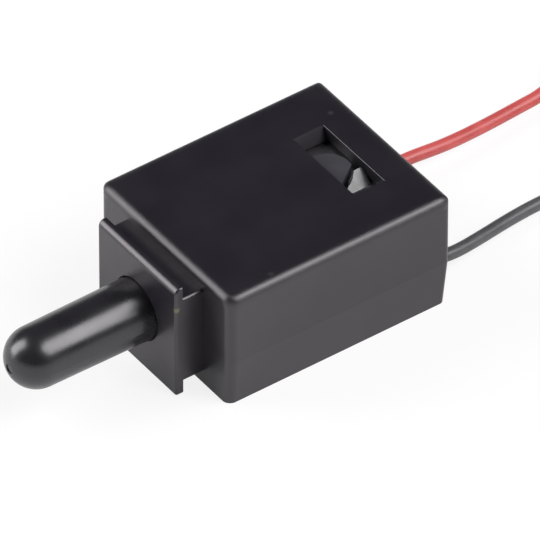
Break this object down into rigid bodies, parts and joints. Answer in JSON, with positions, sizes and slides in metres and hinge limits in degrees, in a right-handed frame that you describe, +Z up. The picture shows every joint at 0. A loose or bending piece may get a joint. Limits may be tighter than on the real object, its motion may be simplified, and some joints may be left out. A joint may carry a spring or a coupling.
{
  "type": "micro switch",
  "caption": "Plunger micro switch: boxy black moulded housing, nose flange on a grooved neck for a panel slot, long round-nosed spring-return plunger, red and black flying leads.",
  "frame": {"origin": "middle of the housing's underside", "axes": "+Z up, -Y the way the plunger points, +Y the way the leads leave, +X to the right seen from behind the plunger's tip"},
  "size_m": [0.0208, 0.0868, 0.0131],
  "materials": {
    "housing_plastic": "satin black moulding",
    "plunger_plastic": "polished black acetal",
    "clamp_plastic": "satin black moulding",
    "pusher_plastic": "natural acetal",
    "red_insulation": "smooth soft vinyl",
    "black_insulation": "smooth soft vinyl",
    "spring_steel": "drawn wire",
    "terminal_brass": "stamped strip",
    "blade_bronze": "rolled spring bronze",
    "contact_silver": "silver rivet",
    "tinned_copper": "tinned strands",
    "solder": "bright solder",
    "tie_plastic": "paper-backed tie"
  },
  "bodies": {
    "housing": {"top_cover": "housing_plastic", "base_tray": "housing_plastic", "nose_flange": "housing_plastic", "return_spring": "spring_steel", "contact_spring": "spring_steel", "pivot_pin": "terminal_brass", "common_terminal": "terminal_brass", "closed_terminal": "terminal_brass", "fixed_contact": "contact_silver", "lead_clamp": "clamp_plastic", "red_lead": "red_insulation", "black_lead": "black_insulation", "red_core": "tinned_copper", "black_core": "tinned_copper", "red_solder": "solder", "black_solder": "solder", "red_coil": "red_insulation", "black_coil": "black_insulation", "red_tip": "tinned_copper", "black_tip": "tinned_copper", "coil_tie": "tie_plastic"},
    "plunger": {"plunger": "plunger_plastic", "overtravel_spring": "spring_steel"},
    "pusher": {"pusher_pin": "pusher_plastic"},
    "blade": {"contact_blade": "blade_bronze", "moving_contact": "contact_silver"}
  },
  "joints": [
    {"name": "plunger_slide", "type": "slide", "parent": "housing", "child": "plunger", "axis": [0, 1, 0], "range_m": [0, 0.005], "stiffness_N_per_m": 200, "springref_m": -0.003, "deforming": ["return_spring", "overtravel_spring"]},
    {"name": "pusher_slide", "type": "slide", "parent": "housing", "child": "pusher", "axis": [0, 1, 0], "range_m": [0, 0.0005], "deforming": ["contact_spring"]},
    {"name": "blade_hinge", "type": "hinge", "parent": "housing", "child": "blade", "pos_m": [-0.0065, 0.00172, 0.00655], "axis": [0, 0, 1], "range_deg": [0, 4.41]}
  ],
  "couplings": [
    {"joint": "pusher_slide", "follows": "plunger_slide", "ratio": 0.1},
    {"joint": "blade_hinge", "follows": "plunger_slide", "rad_per_m": 15.384}
  ]
}
